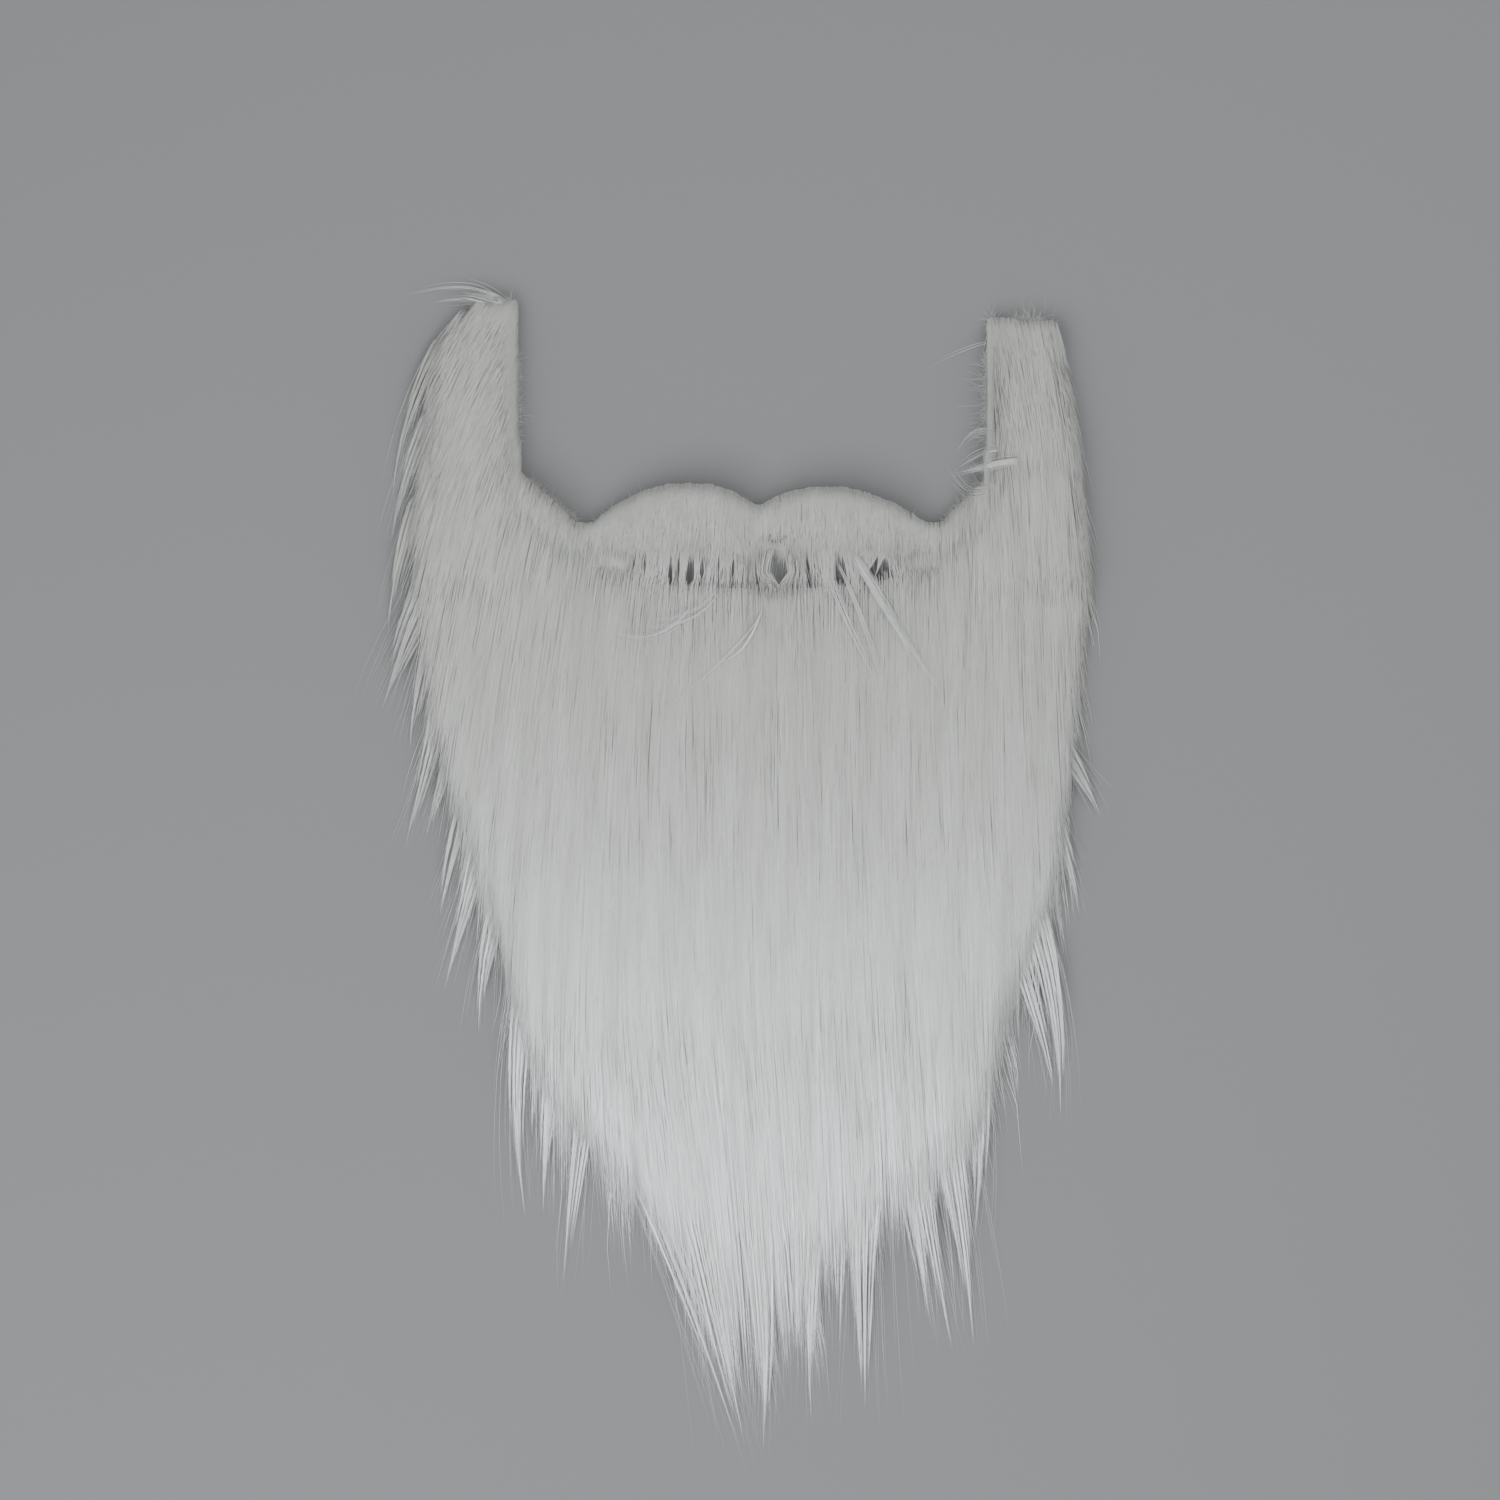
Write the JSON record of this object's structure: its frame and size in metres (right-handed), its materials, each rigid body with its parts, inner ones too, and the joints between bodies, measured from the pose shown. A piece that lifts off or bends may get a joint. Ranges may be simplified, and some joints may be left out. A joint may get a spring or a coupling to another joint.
{
  "type": "fake beard",
  "caption": "White faux fur costume beard with sideburns and a joined moustache over a mouth slit, lying flat on its cloth.",
  "frame": {"origin": "on the back of the cloth, in the middle of the upper lip strip above the mouth slit", "axes": "+Z out of the cloth through the fur, +Y towards the tops of the sideburns, +X to the right seen from the fur side"},
  "size_m": [0.2473, 0.3972, 0.0231],
  "materials": {
    "knitted_cloth": "matte off-white knitted backing",
    "white_fur": "silky white long-pile faux fur"
  },
  "bodies": {
    "root": {"backing_cloth": "knitted_cloth", "chin_fur": "white_fur", "sideburn_fur_left": "white_fur", "sideburn_fur_right": "white_fur", "moustache_fur_left": "white_fur", "moustache_fur_right": "white_fur"}
  },
  "joints": []
}
